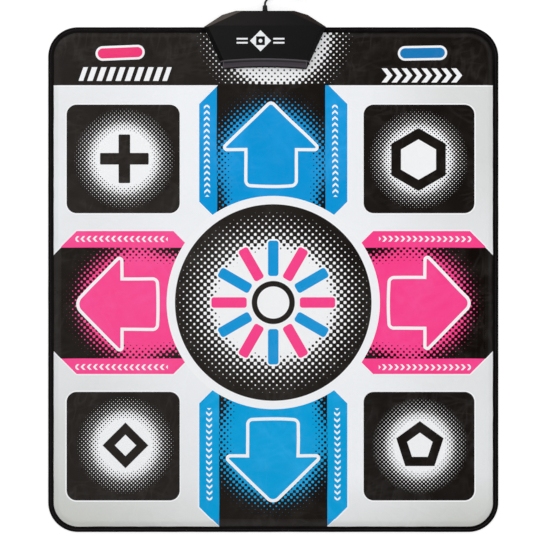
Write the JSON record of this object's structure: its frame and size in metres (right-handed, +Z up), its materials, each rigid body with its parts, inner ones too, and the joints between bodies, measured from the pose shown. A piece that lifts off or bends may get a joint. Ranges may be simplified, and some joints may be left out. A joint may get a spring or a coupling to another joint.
{
  "type": "dance mat controller",
  "caption": "Soft sewn dance mat with arrow and corner step zones, header keys, and a bevelled controller housing on its top edge, with a coiled cord and a plug.",
  "frame": {"origin": "on the floor, midway between the mat's near edge and the housing's rear wall, and midway across the mat", "axes": "+Y from the dancer towards the controller housing, +X to the dancer's right, +Z up out of the printed face"},
  "size_m": [0.8156, 1.0305, 0.032],
  "materials": {
    "film": "glossy printed film",
    "binding": "woven tape",
    "backing": "non-slip cloth",
    "foam": "soft foam",
    "sheet": "clear grey film",
    "carbon": "carbon print on film",
    "shell": "fine moulded texture",
    "board": "solder mask",
    "epoxy": "glossy",
    "steel": "plated",
    "rubber": "matt",
    "cord": "satin",
    "plug": "moulded"
  },
  "bodies": {
    "mat": {"top_cover": "film", "edge_binding": "binding", "bottom_cover": "backing", "base_foam": "foam", "spacer_foam": "foam", "lower_contact_sheet": "sheet", "upper_contact_sheet": "sheet", "housing_top": "shell", "housing_bottom": "shell", "housing_screw_front_left": "steel", "housing_screw_front_right": "steel", "housing_screw_rear_left": "steel", "housing_screw_rear_right": "steel", "circuit_board": "board", "chip_blob": "epoxy", "crystal": "steel", "capacitor": "epoxy", "clamp_rubber": "rubber", "clamp_bar": "shell", "clamp_screw_left": "steel", "clamp_screw_right": "steel", "board_screw_left": "steel", "board_screw_right": "steel", "inner_lead": "cord", "strain_relief": "rubber", "cord": "cord", "cord_coil": "cord", "cord_tie": "rubber", "plug_lead": "cord", "plug_body": "plug", "plug_shell": "steel", "plug_tongue": "epoxy"},
    "up_step": {"up_step_cover": "film", "up_step_contact": "carbon"},
    "down_step": {"down_step_cover": "film", "down_step_contact": "carbon"},
    "left_step": {"left_step_cover": "film", "left_step_contact": "carbon"},
    "right_step": {"right_step_cover": "film", "right_step_contact": "carbon"},
    "top_left_step": {"top_left_step_cover": "film", "top_left_step_contact": "carbon"},
    "top_right_step": {"top_right_step_cover": "film", "top_right_step_contact": "carbon"},
    "bottom_left_step": {"bottom_left_step_cover": "film", "bottom_left_step_contact": "carbon"},
    "bottom_right_step": {"bottom_right_step_cover": "film", "bottom_right_step_contact": "carbon"},
    "select_key": {"select_key_cover": "film", "select_key_contact": "carbon"},
    "start_key": {"start_key_cover": "film", "start_key_contact": "carbon"}
  },
  "joints": [
    {"name": "up_press", "type": "slide", "parent": "mat", "child": "up_step", "axis": [0, 0, -1], "range_m": [0, 0.0015], "stiffness_N_per_m": 3000, "springref_m": -0.002},
    {"name": "down_press", "type": "slide", "parent": "mat", "child": "down_step", "axis": [0, 0, -1], "range_m": [0, 0.0015], "stiffness_N_per_m": 3000, "springref_m": -0.002},
    {"name": "left_press", "type": "slide", "parent": "mat", "child": "left_step", "axis": [0, 0, -1], "range_m": [0, 0.0015], "stiffness_N_per_m": 3000, "springref_m": -0.002},
    {"name": "right_press", "type": "slide", "parent": "mat", "child": "right_step", "axis": [0, 0, -1], "range_m": [0, 0.0015], "stiffness_N_per_m": 3000, "springref_m": -0.002},
    {"name": "top_left_press", "type": "slide", "parent": "mat", "child": "top_left_step", "axis": [0, 0, -1], "range_m": [0, 0.0015], "stiffness_N_per_m": 3000, "springref_m": -0.002},
    {"name": "top_right_press", "type": "slide", "parent": "mat", "child": "top_right_step", "axis": [0, 0, -1], "range_m": [0, 0.0015], "stiffness_N_per_m": 3000, "springref_m": -0.002},
    {"name": "bottom_left_press", "type": "slide", "parent": "mat", "child": "bottom_left_step", "axis": [0, 0, -1], "range_m": [0, 0.0015], "stiffness_N_per_m": 3000, "springref_m": -0.002},
    {"name": "bottom_right_press", "type": "slide", "parent": "mat", "child": "bottom_right_step", "axis": [0, 0, -1], "range_m": [0, 0.0015], "stiffness_N_per_m": 3000, "springref_m": -0.002},
    {"name": "select_press", "type": "slide", "parent": "mat", "child": "select_key", "axis": [0, 0, -1], "range_m": [0, 0.0015], "stiffness_N_per_m": 1500, "springref_m": -0.002},
    {"name": "start_press", "type": "slide", "parent": "mat", "child": "start_key", "axis": [0, 0, -1], "range_m": [0, 0.0015], "stiffness_N_per_m": 1500, "springref_m": -0.002}
  ]
}
